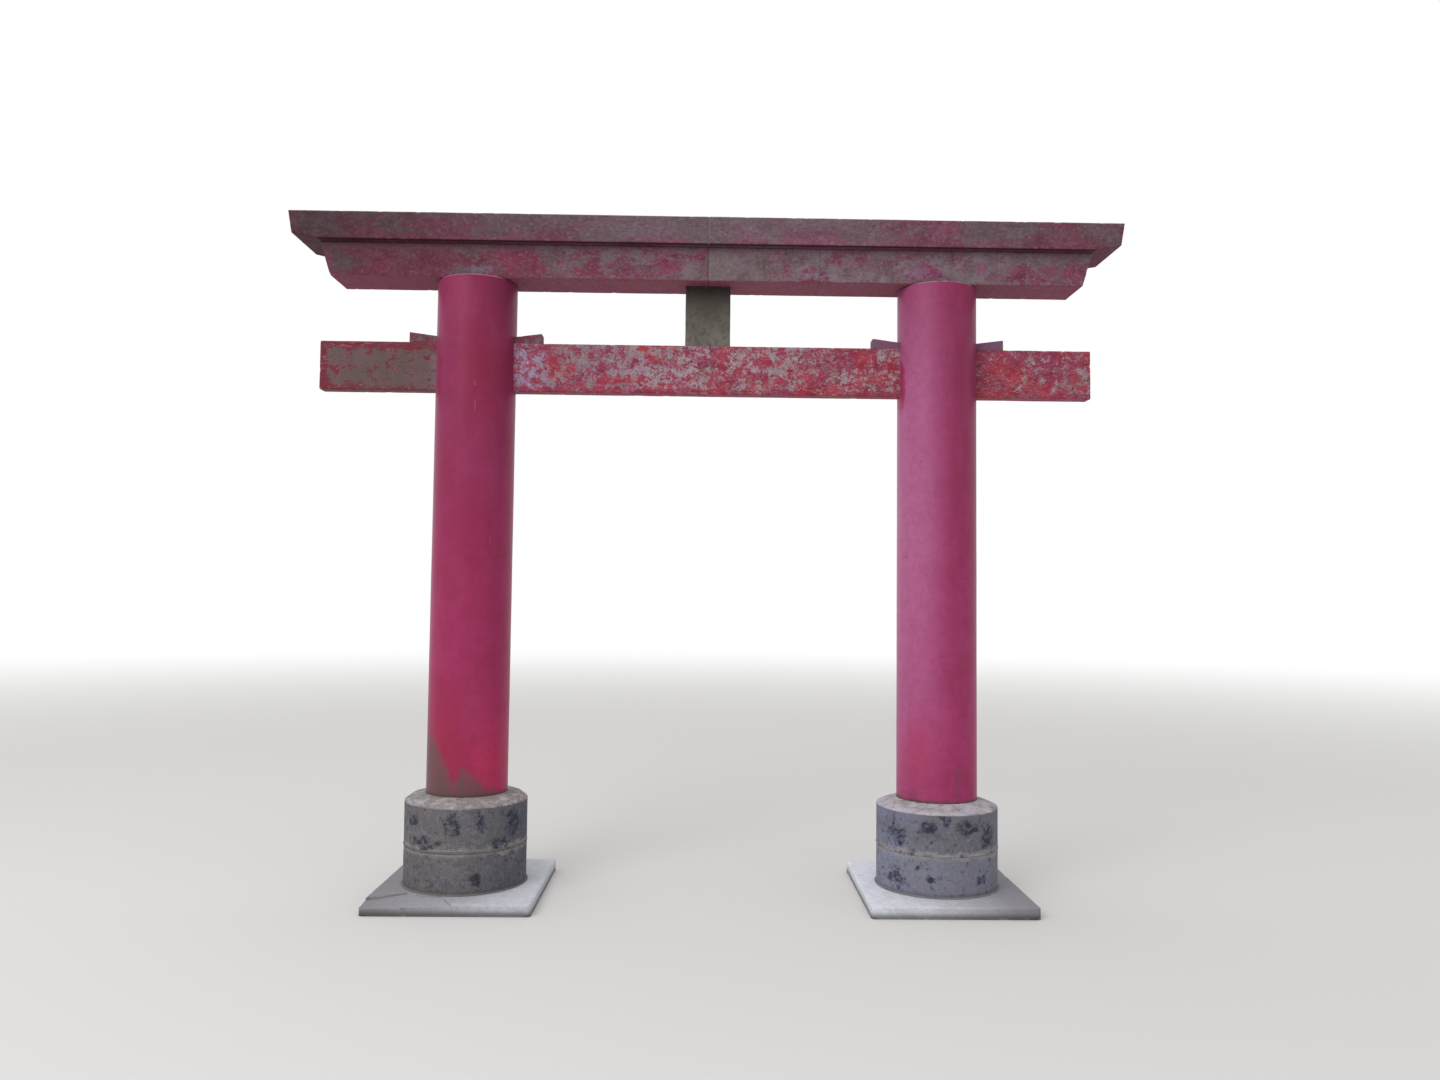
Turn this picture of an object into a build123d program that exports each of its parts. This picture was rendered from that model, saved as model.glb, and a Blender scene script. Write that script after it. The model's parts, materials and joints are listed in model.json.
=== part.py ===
# A small torii gate of painted concrete, standing on ringed concrete pedestals.
# Sizes are in millimetres. +X runs along the lintel to the right, +Y to the back, +Z up.
# The origin is on the ground, midway between the two pillars.

import os
from math import radians, tan

from build123d import *

os.makedirs("parts", exist_ok=True)

# Pillars
pillar_spacing = 2120.0
pillar_diameter = 360.0
pillar_height = 2704.0
pillar_rim_chamfer = 7.0

# Footing pads
pad_width = 710.0
pad_depth = 790.0
pad_thickness = 50.0
pad_corner_radius = 18.0
pad_edge_chamfer = 5.0

# Broken corner of the left pad, measured from the pad's front left corner
break_side_length = 105.0
break_inner_knee = (157.0, 170.0)
break_middle_knee = (222.0, 133.0)
break_outer_knee = (320.0, 110.0)
break_front_length = 385.0
break_settlement = 4.0
break_fall_forward = 3.9
break_fall_sideways = 1.5

# Pedestal rings, their mortar joints and the mortar collar round the pillar
ring_diameter = 540.0
ring_wall = 70.0
ring_height = 165.0
left_upper_ring_height = 177.0
bed_joint = 6.0
bed_fillet = 8.0
ring_joint = 13.0
joint_bead = 2.5
collar_edge = 5.0
collar_rise = 36.0
collar_shoulder_inset = 25.0
left_collar_shoulder = 25.0
right_collar_shoulder = 17.0

# Tie beam through both pillars, hung from the lintel by the strut's height
beam_height = 223.0
beam_thickness = 75.0
beam_length = 3528.0
beam_chamfer = 3.0
mortise_clearance = 1.0

# Wedges that lock the tie beam
wedge_projection = 122.0
wedge_end_height = 46.0
wedge_angle = 7.5
wedge_thickness = 63.0
wedge_tip_gap = 60.0
wedge_chamfer = 2.5

# Strut between the tie beam and the lintel
strut_height = 279.0
strut_width = 207.0
strut_thickness = 60.0
strut_chamfer = 3.0

# Lower lintel, in two halves
lower_lintel_length = 3504.0
lower_lintel_height = 156.0
lower_lintel_depth = 228.0
lower_lintel_end_angle = 17.4
lower_lintel_chamfer = 3.5

# Upper lintel, in two halves, with a low ridge along its top
upper_lintel_length = 3766.0
upper_lintel_height = 125.0
upper_lintel_depth = 320.0
upper_lintel_end_angle = 9.4
upper_lintel_end_rise = 20.0
upper_lintel_ridge = 24.0
upper_lintel_chamfer = 3.5

# Levels and radii that follow from the sizes above
pad_top = pad_thickness
lower_ring_bottom = pad_top + bed_joint
middle_joint_bottom = lower_ring_bottom + ring_height
upper_ring_bottom = middle_joint_bottom + ring_joint
pillar_top = pad_top + pillar_height
beam_top = pillar_top - strut_height
beam_base = beam_top - beam_height
upper_lintel_base = pillar_top + lower_lintel_height
pillar_radius = pillar_diameter / 2
ring_radius = ring_diameter / 2
ring_bore_radius = ring_radius - ring_wall
wedge_slope = tan(radians(wedge_angle))
wedge_outer_end = pillar_radius + wedge_projection
wedge_inner_end = wedge_tip_gap / 2


def save(piece, name):
    piece.part.label = name
    export_step(piece.part, f"parts/{name}.step")


def pad_blank(pillar_x):
    """A whole footing pad, with rounded corners and a chamfered top edge."""
    with BuildPart() as blank:
        with BuildSketch(Plane((pillar_x, 0, 0))):
            RectangleRounded(pad_width, pad_depth, pad_corner_radius)
        extrude(amount=pad_thickness)
        top_face = blank.faces().sort_by(Axis.Z)[-1]
        chamfer(top_face.edges(), pad_edge_chamfer)
    return blank.part


def broken_outline(pillar_x):
    """The plane region of the left pad that has broken off, reaching past the pad's sides."""
    corner = Plane((pillar_x - pad_width / 2, -pad_depth / 2, 0))
    past = pad_corner_radius
    with BuildSketch(corner) as outline:
        with BuildLine():
            Polyline(
                (-past, -past),
                (break_front_length, -past),
                (break_front_length, 0),
                break_outer_knee,
                break_middle_knee,
                break_inner_knee,
                (0, break_side_length),
                (-past, break_side_length),
                close=True,
            )
        make_face()
    return outline.sketch


def profile_plane(x, level):
    """The upright plane along the gate's middle that profiles are drawn on, as seen from the front."""
    return Plane((x, 0, level), x_dir=(1, 0, 0), z_dir=(0, -1, 0))


def bed_mortar(pillar_x):
    """The mortar bed under the lower ring, squeezed out in a small fillet round its foot."""
    with BuildPart() as bed:
        with BuildSketch(profile_plane(pillar_x, pad_top)):
            with BuildLine():
                Polyline(
                    (ring_bore_radius, 0),
                    (ring_radius + bed_fillet, 0),
                    (ring_radius, bed_joint),
                    (ring_bore_radius, bed_joint),
                    close=True,
                )
            make_face()
        revolve(axis=Axis((pillar_x, 0, 0), (0, 0, 1)))
    return bed


def joint_mortar(pillar_x):
    """The mortar joint between the two rings, standing proud of them in a pointed bead."""
    with BuildPart() as joint:
        with BuildSketch(profile_plane(pillar_x, middle_joint_bottom)):
            with BuildLine():
                Polyline(
                    (ring_bore_radius, 0),
                    (ring_radius, 0),
                    (ring_radius + joint_bead, ring_joint / 2),
                    (ring_radius, ring_joint),
                    (ring_bore_radius, ring_joint),
                    close=True,
                )
            make_face()
        revolve(axis=Axis((pillar_x, 0, 0), (0, 0, 1)))
    return joint


def pedestal_ring(pillar_x, bottom, height):
    """A cast concrete ring, one course of the pedestal."""
    with BuildPart() as ring:
        with BuildSketch(Plane((pillar_x, 0, bottom))):
            Circle(ring_radius)
            Circle(ring_bore_radius, mode=Mode.SUBTRACT)
        extrude(amount=height)
    return ring


def mortar_collar(pillar_x, ring_top, shoulder):
    """Mortar packed between pillar and rings, its slope over the upper ring rounded at a shoulder."""
    with BuildPart() as collar:
        with BuildSketch(profile_plane(pillar_x, ring_top)):
            with BuildLine():
                Polyline(
                    (pillar_radius, pad_top - ring_top),
                    (ring_bore_radius, pad_top - ring_top),
                    (ring_bore_radius, 0),
                    (ring_radius, 0),
                    (ring_radius, collar_edge),
                    (ring_radius - collar_shoulder_inset, shoulder),
                    (pillar_radius, collar_rise),
                    close=True,
                )
            make_face()
        revolve(axis=Axis((pillar_x, 0, 0), (0, 0, 1)))
    return collar


def wedge_height(distance):
    """Height of a wedge's sloping top above the tie beam, at a distance from the pillar's axis."""
    return wedge_end_height - (wedge_outer_end - distance) * wedge_slope


def round_pillar(pillar_x):
    """A round pillar with a mortise whose roof slopes up to both mouths to take the wedges."""
    with BuildPart() as pillar:
        with BuildSketch(Plane((pillar_x, 0, pad_top))):
            Circle(pillar_radius)
        extrude(amount=pillar_height)
        chamfer(pillar.faces().sort_by(Axis.Z)[-1].edges(), pillar_rim_chamfer)
        with BuildSketch(profile_plane(pillar_x, beam_top)):
            with BuildLine():
                mouth = wedge_outer_end
                mouth_height = wedge_height(mouth)
                throat_height = wedge_height(wedge_inner_end)
                Polyline(
                    (-mouth, -beam_height),
                    (mouth, -beam_height),
                    (mouth, mouth_height),
                    (wedge_inner_end, throat_height),
                    (-wedge_inner_end, throat_height),
                    (-mouth, mouth_height),
                    close=True,
                )
            make_face()
        extrude(amount=beam_thickness / 2 + mortise_clearance, both=True, mode=Mode.SUBTRACT)
    return pillar


def lock_wedge(pillar_x, direction):
    """A wedge driven into the mortise above the tie beam, from the side that direction points to."""
    with BuildPart() as wedge:
        with BuildSketch(profile_plane(pillar_x, beam_top)):
            with BuildLine():
                Polyline(
                    (direction * wedge_inner_end, 0),
                    (direction * wedge_outer_end, 0),
                    (direction * wedge_outer_end, wedge_end_height),
                    (direction * wedge_inner_end, wedge_height(wedge_inner_end)),
                    close=True,
                )
            make_face()
        extrude(amount=wedge_thickness / 2, both=True)
        outer_face = wedge.faces().sort_by(Axis.X)[-1 if direction > 0 else 0]
        chamfer(outer_face.edges(), wedge_chamfer)
    return wedge


def lower_lintel_half(direction):
    """Half of the lower lintel, from the middle joint to an end that leans outwards."""
    end_top = direction * lower_lintel_length / 2
    end_foot = end_top - direction * lower_lintel_height * tan(radians(lower_lintel_end_angle))
    with BuildPart() as half:
        with BuildSketch(profile_plane(0, pillar_top)):
            with BuildLine():
                Polyline(
                    (0, 0),
                    (end_foot, 0),
                    (end_top, lower_lintel_height),
                    (0, lower_lintel_height),
                    close=True,
                )
            make_face()
        extrude(amount=lower_lintel_depth / 2, both=True)
        chamfer(half.edges(), lower_lintel_chamfer)
    return half


def upper_lintel_half(direction):
    """Half of the upper lintel, its underside rising past the lower lintel and its top ridged."""
    end_slope = tan(radians(upper_lintel_end_angle))
    full_height = upper_lintel_height + upper_lintel_ridge
    reach = upper_lintel_length / 2
    end_head = direction * (reach + upper_lintel_ridge * end_slope)
    end_foot = direction * (reach - (upper_lintel_height - upper_lintel_end_rise) * end_slope)
    rise_start = direction * lower_lintel_length / 2
    half_depth = upper_lintel_depth / 2
    with BuildPart() as half:
        with BuildSketch(profile_plane(0, upper_lintel_base)):
            with BuildLine():
                Polyline(
                    (0, 0),
                    (rise_start, 0),
                    (end_foot, upper_lintel_end_rise),
                    (end_head, full_height),
                    (0, full_height),
                    close=True,
                )
            make_face()
        extrude(amount=half_depth, both=True)
        with BuildSketch(Plane((0, 0, upper_lintel_base), x_dir=(0, 1, 0), z_dir=(1, 0, 0))):
            with BuildLine():
                Polyline(
                    (-half_depth, 0),
                    (half_depth, 0),
                    (half_depth, upper_lintel_height),
                    (0, full_height),
                    (-half_depth, upper_lintel_height),
                    close=True,
                )
            make_face()
        extrude(amount=upper_lintel_length, both=True, mode=Mode.INTERSECT)
        chamfer(half.edges(), upper_lintel_chamfer)
    return half


for side_name, side, upper_ring_height, collar_shoulder in (
    ("left", -1, left_upper_ring_height, left_collar_shoulder),
    ("right", 1, ring_height, right_collar_shoulder),
):
    pillar_x = side * pillar_spacing / 2
    upper_ring_top = upper_ring_bottom + upper_ring_height

    with BuildPart() as footing_pad:
        add(pad_blank(pillar_x))
        if side < 0:
            extrude(broken_outline(pillar_x), amount=pad_thickness, mode=Mode.SUBTRACT)
    save(footing_pad, f"{side_name}_footing_pad")

    save(bed_mortar(pillar_x), f"{side_name}_bed_joint")
    save(pedestal_ring(pillar_x, lower_ring_bottom, ring_height), f"{side_name}_lower_ring")
    save(joint_mortar(pillar_x), f"{side_name}_ring_joint")
    save(pedestal_ring(pillar_x, upper_ring_bottom, upper_ring_height), f"{side_name}_upper_ring")
    save(mortar_collar(pillar_x, upper_ring_top, collar_shoulder), f"{side_name}_mortar_collar")
    save(round_pillar(pillar_x), f"{side_name}_pillar")
    save(lock_wedge(pillar_x, side), f"{side_name}_outer_wedge")
    save(lock_wedge(pillar_x, -side), f"{side_name}_inner_wedge")
    save(lower_lintel_half(side), f"{side_name}_lower_lintel")
    save(upper_lintel_half(side), f"{side_name}_upper_lintel")

with BuildPart() as broken_corner:
    left_x = -pillar_spacing / 2
    add(pad_blank(left_x))
    extrude(broken_outline(left_x), amount=pad_thickness, mode=Mode.INTERSECT)
    knee_x = left_x - pad_width / 2 + break_inner_knee[0]
    knee_y = -pad_depth / 2 + break_inner_knee[1]
    level_top = Plane((knee_x, knee_y, pad_top - break_settlement))
    split(bisect_by=level_top.rotated((break_fall_forward, -break_fall_sideways, 0)), keep=Keep.BOTTOM)
save(broken_corner, "left_footing_broken_corner")

with BuildPart() as tie_beam:
    with BuildSketch(Plane.XY.offset(beam_base)):
        Rectangle(beam_length, beam_thickness)
    extrude(amount=beam_height)
    chamfer(tie_beam.edges(), beam_chamfer)
save(tie_beam, "tie_beam")

with BuildPart() as strut:
    with BuildSketch(Plane.XY.offset(beam_top)):
        Rectangle(strut_width, strut_thickness)
    extrude(amount=strut_height)
    chamfer(strut.edges().filter_by(Axis.Z), strut_chamfer)
save(strut, "strut")
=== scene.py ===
import json
from math import hypot, radians, tau

import bmesh
import bpy
from mathutils import Matrix, Vector

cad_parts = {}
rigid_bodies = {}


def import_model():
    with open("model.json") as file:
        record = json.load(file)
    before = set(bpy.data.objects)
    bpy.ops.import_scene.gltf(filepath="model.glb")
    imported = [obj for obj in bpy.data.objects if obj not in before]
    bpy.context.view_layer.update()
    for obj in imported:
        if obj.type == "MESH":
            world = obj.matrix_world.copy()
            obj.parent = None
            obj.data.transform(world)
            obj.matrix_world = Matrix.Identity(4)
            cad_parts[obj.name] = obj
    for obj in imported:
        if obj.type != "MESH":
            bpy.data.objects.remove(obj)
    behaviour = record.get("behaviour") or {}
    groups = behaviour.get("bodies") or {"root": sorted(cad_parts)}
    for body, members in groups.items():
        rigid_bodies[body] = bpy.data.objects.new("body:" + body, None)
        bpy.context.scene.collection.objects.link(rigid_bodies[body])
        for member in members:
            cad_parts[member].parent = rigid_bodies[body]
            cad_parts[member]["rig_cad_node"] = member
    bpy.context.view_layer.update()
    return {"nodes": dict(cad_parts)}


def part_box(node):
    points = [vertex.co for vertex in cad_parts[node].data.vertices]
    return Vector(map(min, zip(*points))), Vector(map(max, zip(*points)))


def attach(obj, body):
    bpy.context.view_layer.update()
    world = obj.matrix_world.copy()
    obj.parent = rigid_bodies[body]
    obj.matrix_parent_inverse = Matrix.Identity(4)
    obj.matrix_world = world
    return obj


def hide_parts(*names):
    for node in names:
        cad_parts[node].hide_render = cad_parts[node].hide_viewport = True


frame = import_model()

bpy.ops.object.select_all(action="DESELECT")


# Camera: it stands in front of the gate, a little left of its middle, at chest height, and looks
# slightly up. Place, turns and focal length come from fitting the gate's edges in the photograph.
camera_place = Vector((-0.013, -4.933, 1.332))
camera_turn_right = 0.0162
camera_tilt_up = 0.0517
camera_roll = 0.0106

bpy.ops.object.camera_add()
camera = bpy.context.object
camera.name = "camera"
camera.data.lens = 27.0
camera.data.sensor_width = 36.0
camera.matrix_world = (
    Matrix.Translation(camera_place)
    @ Matrix.Rotation(-camera_turn_right, 4, "Z")
    @ Matrix.Rotation(radians(90) + camera_tilt_up, 4, "X")
    @ Matrix.Rotation(camera_roll, 4, "Z")
)
bpy.context.scene.camera = camera
bpy.context.scene.view_settings.view_transform = "Standard"


# Footing pads: thin slabs of smooth cast concrete under the pedestals, soiled at their edges.
# Light falling between the pillars is painted on them as a pale pool, and their foot is darker
# with dirt and painted shade. The front left corner of the left pad has cracked off and settled.
# Each is the shape of its solid, cut finely enough to wear its surface.
pad_cell = 0.012
pad_dips = 0.0018
pad_dip_size = 0.16
pad_chips = 0.005
pad_chip_size = 0.045
unchipped_share = 0.8
flat_angle = radians(0.5)
sharp_angle = radians(25)
smooth_angle = radians(38)
weld_distance = 0.00001
seat_tolerance = 0.0001


def open_for_editing(piece):
    """Opens one piece in edit mode, with nothing in it selected."""
    bpy.ops.object.select_all(action="DESELECT")
    piece.select_set(True)
    bpy.context.view_layer.objects.active = piece
    bpy.ops.object.mode_set(mode="EDIT")
    bpy.ops.mesh.select_all(action="DESELECT")


def cast_of(node, name):
    """A copy of a solid, its loose triangles merged into whole flat faces."""
    bpy.ops.object.select_all(action="DESELECT")
    piece = frame["nodes"][node].copy()
    piece.data = piece.data.copy()
    piece.name = name
    piece.data.name = name
    piece.parent = None
    del piece["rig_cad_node"]
    bpy.context.scene.collection.objects.link(piece)
    open_for_editing(piece)
    bpy.ops.mesh.select_all(action="SELECT")
    bpy.ops.mesh.remove_doubles(threshold=weld_distance)
    bpy.ops.mesh.dissolve_limited(angle_limit=flat_angle)
    bpy.ops.object.mode_set(mode="OBJECT")
    return piece


def cut_into_cells(piece, cell):
    """Cuts a piece across every cell metres along X, Y and Z, so that its faces can be worn."""
    open_for_editing(piece)
    for axis in range(3):
        places = [point.co[axis] for point in bmesh.from_edit_mesh(piece.data).verts]
        low, high = min(places), max(places)
        count = max(1, round((high - low) / cell))
        for cut in range(1, count):
            on_plane = Vector((0, 0, 0))
            on_plane[axis] = low + (high - low) * cut / count
            across = Vector((0, 0, 0))
            across[axis] = 1
            bpy.ops.mesh.select_all(action="SELECT")
            bpy.ops.mesh.bisect(plane_co=on_plane, plane_no=across)
    bpy.ops.object.mode_set(mode="OBJECT")


def press_in(piece, depth, size, bare_share=None, group="", seats=()):
    """Wears a piece, or a group of its points, inwards by up to depth, in dips about size across.

    A bare share leaves that much of the surface untouched between the dips. Seats are the levels,
    as (axis, place), at which the piece bears on its neighbours, and those faces stay flat."""
    texture = bpy.data.textures.new(piece.name + "_dips", "CLOUDS")
    texture.noise_scale = size
    texture.noise_depth = 3
    texture.use_clamp = True
    if bare_share is not None:
        texture.contrast = 4.0
        texture.intensity = 1.5 - 2 * bare_share
    dips = piece.modifiers.new("dips", "DISPLACE")
    dips.texture = texture
    dips.texture_coords = "LOCAL"
    dips.vertex_group = group
    dips.strength = -depth
    dips.mid_level = 0.0
    seated = []
    for axis, place in seats:
        for point in piece.data.vertices:
            if abs(point.co[axis] - place) < seat_tolerance:
                seated.append((point.index, axis, place))
    bpy.context.view_layer.objects.active = piece
    bpy.ops.object.modifier_apply(modifier="dips")
    for index, axis, place in seated:
        piece.data.vertices[index].co[axis] = place


def chip_edges(piece, depth, size, seats=()):
    """Breaks chips out of a piece's sharp edges, and marks on each point how chipped it is.

    A point that has moved by 0.4 of the depth, or more, is marked 1."""
    open_for_editing(piece)
    bpy.ops.mesh.select_mode(type="EDGE")
    bpy.ops.mesh.edges_select_sharp(sharpness=sharp_angle)
    edge_points = piece.vertex_groups.new(name="edges")
    bpy.ops.object.vertex_group_assign()
    bpy.ops.object.mode_set(mode="OBJECT")
    unworn = [point.co.copy() for point in piece.data.vertices]
    press_in(piece, depth, size, bare_share=unchipped_share, group=edge_points.name, seats=seats)
    chipped = piece.data.attributes.new("chipped", "FLOAT", "POINT")
    full_mark = 0.4 * depth
    for point, was in zip(piece.data.vertices, unworn):
        chipped.data[point.index].value = min(1.0, (point.co - was).length / full_mark)


def put_in_place(piece, node, material):
    """Smooths a finished piece, gives it its material, and sets it in the place of its solid."""
    bpy.ops.object.select_all(action="DESELECT")
    piece.select_set(True)
    bpy.context.view_layer.objects.active = piece
    bpy.ops.object.shade_smooth_by_angle(angle=smooth_angle)
    piece.data.materials.clear()
    piece.data.materials.append(material)
    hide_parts(node)
    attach(piece, "root")


def shade(red, green, blue):
    """A colour named by its screen values, 0 to 255, as the linear values that a shader takes."""
    linear = [((part / 255 + 0.055) / 1.055) ** 2.4 for part in (red, green, blue)]
    return (*linear, 1.0)


class Nodes:
    """Shader nodes, added to one node tree and joined as they are added."""

    def __init__(self, tree):
        self.tree = tree

    def feed(self, node, key, value):
        """Gives an input of a node a number or a colour, or joins another node's output to it."""
        if isinstance(value, bpy.types.NodeSocket):
            self.tree.links.new(value, node.inputs[key])
        else:
            node.inputs[key].default_value = value

    def add(self, kind, inputs=None, **settings):
        node = self.tree.nodes.new("ShaderNode" + kind)
        for setting, value in settings.items():
            setattr(node, setting, value)
        for key, value in (inputs or {}).items():
            self.feed(node, key, value)
        return node

    def math(self, operation, first, second=0.0, third=0.0):
        return self.add("Math", {0: first, 1: second, 2: third}, operation=operation).outputs[0]

    def product(self, *parts):
        whole = parts[0]
        for part in parts[1:]:
            whole = self.math("MULTIPLY", whole, part)
        return whole

    def greatest(self, *parts):
        whole = parts[0]
        for part in parts[1:]:
            whole = self.math("MAXIMUM", whole, part)
        return whole

    def scaled(self, value, by, plus=0.0):
        return self.math("MULTIPLY_ADD", value, by, plus)


class Finish(Nodes):
    """A procedural finish, laid on in coats over noise in a piece's own Object coordinates.

    Nearly all of the noise's heights lie within half of the noise spread from 0.5."""

    noise_spread = 0.26
    fray_shift = 11.0

    def __init__(self, name, colour, roughness, gloss):
        self.material = bpy.data.materials.new(name)
        self.material.use_nodes = True
        super().__init__(self.material.node_tree)
        self.shader = self.tree.nodes["Principled BSDF"]
        self.shader.inputs["Roughness"].default_value = roughness
        self.shader.inputs["Specular IOR Level"].default_value = gloss
        self.place = self.add("TexCoord").outputs["Object"]
        self.x, self.y, self.z = self.add("SeparateXYZ", {"Vector": self.place}).outputs
        self.colour = colour
        self.normal = None

    def ramp(self, value, start, end):
        """0 up to start and 1 from end on, or the other way round where start is the greater."""
        inputs = {"Value": value, "From Min": start, "From Max": end}
        return self.add("MapRange", inputs, interpolation_type="SMOOTHSTEP").outputs[0]

    def graph(self, value, points):
        """Reads a number off a graph of straight lines between (value, number) points."""
        first, last = points[0][0], points[-1][0]
        inputs = {"Value": value, "From Min": first, "From Max": last}
        share = self.add("MapRange", inputs).outputs[0]
        node = self.add("ValToRGB", {"Fac": share})
        stops = node.color_ramp.elements
        for at, number in points[1:-1]:
            stops.new((at - first) / (last - first))
        for stop, (at, number) in zip(stops, points):
            stop.color = (number, number, number, 1)
        return node.outputs[0]

    def clouds(self, size, detail=5.0, stretch=(1, 1, 1), shift=0.0, grain=0.6, curl=0.0):
        """Soft noise from 0 to 1, its patches about size across and drawn out by stretch."""
        scale = [1 / (size * part) for part in stretch]
        inputs = {"Vector": self.place, "Scale": scale, "Location": (shift, shift, shift)}
        spot = self.add("Mapping", inputs).outputs[0]
        noise = self.add("TexNoise", {"Vector": spot, "Scale": 1.0, "Detail": detail})
        self.feed(noise, "Roughness", grain)
        self.feed(noise, "Distortion", curl)
        return noise.outputs[0]

    def swing(self, size, **noise):
        """Soft noise that swings about 0, from -0.5 to 0.5."""
        return self.math("SUBTRACT", self.clouds(size, **noise), 0.5)

    def patches(self, size, share, softness=0.04, frayed=0.0, **noise):
        """Noise cut to patches that cover about a share of the surface. The share may vary too.

        Frayed adds noise a fifth of the size, at that strength, to break up the patches."""
        height = self.clouds(size, **noise)
        if frayed:
            noise["shift"] = noise.get("shift", 0.0) + self.fray_shift
            height = self.scaled(self.swing(size / 5, **noise), by=frayed, plus=height)
        spread = self.noise_spread * hypot(1, frayed)
        level = self.scaled(share, by=-spread, plus=0.5 + spread / 2)
        over = self.math("SUBTRACT", height, level)
        return self.ramp(over, start=-softness / 2, end=softness / 2)

    def worms(self, size, width, **noise):
        """Thin winding lines, 1 along their middles."""
        away = self.math("ABSOLUTE", self.swing(size, **noise))
        return self.ramp(away, start=width, end=width / 3)

    def spots(self, size, share):
        """Round spots in cells of that size, 1 at their middles, on about a share of the cells."""
        cells = self.add("TexVoronoi", {"Vector": self.place, "Scale": 1 / size})
        middles = self.ramp(cells.outputs["Distance"], start=0.34, end=0.14)
        chance = self.add("SeparateColor", {0: cells.outputs["Color"]}).outputs[0]
        return self.product(middles, self.ramp(chance, start=share, end=share - 0.05))

    def near(self, centre, reach):
        """1 at a place and 0 from a reach away, given along each axis."""
        inputs = {0: self.place, 1: centre}
        away = self.add("VectorMath", inputs, operation="SUBTRACT").outputs[0]
        away = self.add("VectorMath", {0: away, 1: reach}, operation="DIVIDE").outputs[0]
        length = self.add("VectorMath", {0: away}, operation="LENGTH").outputs["Value"]
        return self.ramp(length, start=1.0, end=0.0)

    def blots(self, places, size, raggedness=0.5, softness=0.15):
        """Patches at the given (centre, reach) places, made ragged by noise of that size."""
        areas = [self.near(centre, reach) for centre, reach in places]
        rough = self.swing(size, detail=8.0, grain=0.7)
        area = self.scaled(rough, by=2 * raggedness, plus=self.greatest(*areas))
        return self.ramp(area, start=0.5 - softness / 2, end=0.5 + softness / 2)

    def mark(self, name):
        """A value that is kept on the piece's points."""
        return self.add("Attribute", attribute_name=name).outputs["Fac"]

    def mix(self, under, over, *where, cover=1.0):
        """One colour over another where all the given values are 1, as thick as the cover."""
        inputs = {0: self.product(*where, cover), 6: under, 7: over}
        return self.add("Mix", inputs, data_type="RGBA").outputs[2]

    def lay(self, colour, *where, cover=1.0):
        """Lays a colour over what is there already."""
        self.colour = self.mix(self.colour, colour, *where, cover=cover)

    def relief(self, height, depth):
        """Raises the surface by depth metres where height is 1."""
        inputs = {"Height": height, "Distance": depth, "Strength": 1.0}
        if self.normal is not None:
            inputs["Normal"] = self.normal
        self.normal = self.add("Bump", inputs).outputs[0]

    def finished(self):
        """Joins colour and relief to the shader, and gives the material."""
        self.feed(self.shader, "Base Color", self.colour)
        if self.normal is not None:
            self.feed(self.shader, "Normal", self.normal)
        return self.material


def pad_concrete(side):
    """Smooth grey concrete with painted light on the side towards the middle of the gate, and
    painted shade low on its sides.
    """
    finish = Finish("pad_concrete_" + side, shade(128, 125, 134), roughness=0.8, gloss=0.2)
    if side == "left":
        # Painted light: the side towards the middle of the gate is paler, where light falls
        # between the pillars.
        painted_light_pool = finish.graph(finish.x, [(-1.42, 0.0), (-1.1, 0.3), (-0.8, 0.7), (-0.7, 0.75)])
    else:
        painted_light_pool = finish.graph(finish.x, [(0.70, 1.0), (0.95, 0.85), (1.3, 0.1), (1.42, 0.0)])
    finish.lay(shade(228, 232, 243), painted_light_pool)
    film_and_sheen = finish.patches(size=0.10, share=0.5, softness=0.8, detail=8.0, grain=0.7)
    finish.lay(shade(140, 136, 134), film_and_sheen, cover=0.35)
    soil = finish.patches(size=0.03, share=0.25, softness=0.6, detail=9.0, grain=0.75, shift=3.0)
    finish.lay(shade(106, 94, 88), soil, cover=0.3)
    # Darker low on the sides: dirt, and painted shade.
    finish.lay(shade(70, 62, 56), finish.ramp(finish.z, start=0.034, end=0.006), cover=0.75)
    finish.lay(shade(168, 160, 152), finish.mark("chipped"), cover=0.4)
    grain = finish.clouds(size=0.006, detail=3.0)
    finish.lay(shade(112, 106, 106), finish.ramp(grain, start=0.5, end=0.85), cover=0.6)
    finish.relief(grain, depth=0.0006)
    pits = finish.spots(size=0.011, share=0.2)
    finish.lay(shade(104, 98, 98), pits, cover=0.5)
    finish.relief(pits, depth=-0.0008)
    return finish.finished()


pad_materials = {"left": pad_concrete("left"), "right": pad_concrete("right")}
for node in ("left_footing_pad", "left_footing_broken_corner", "right_footing_pad"):
    pad = cast_of(node, node + "_slab")
    cut_into_cells(pad, pad_cell)
    press_in(pad, pad_dips, pad_dip_size)
    chip_edges(pad, pad_chips, pad_chip_size)
    put_in_place(pad, node, pad_materials[node.split("_")[0]])


# Pedestal rings: two cast concrete rings stacked round the foot of each pillar. Their walls have
# air holes, black mould and smeared mortar, and their rims are knocked about.
ring_cell = 0.0065
ring_around = 256
ring_wall = 0.07
ring_dips = 0.0016
ring_dip_size = 0.09
ring_chips = 0.0025
ring_chip_size = 0.025


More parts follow.
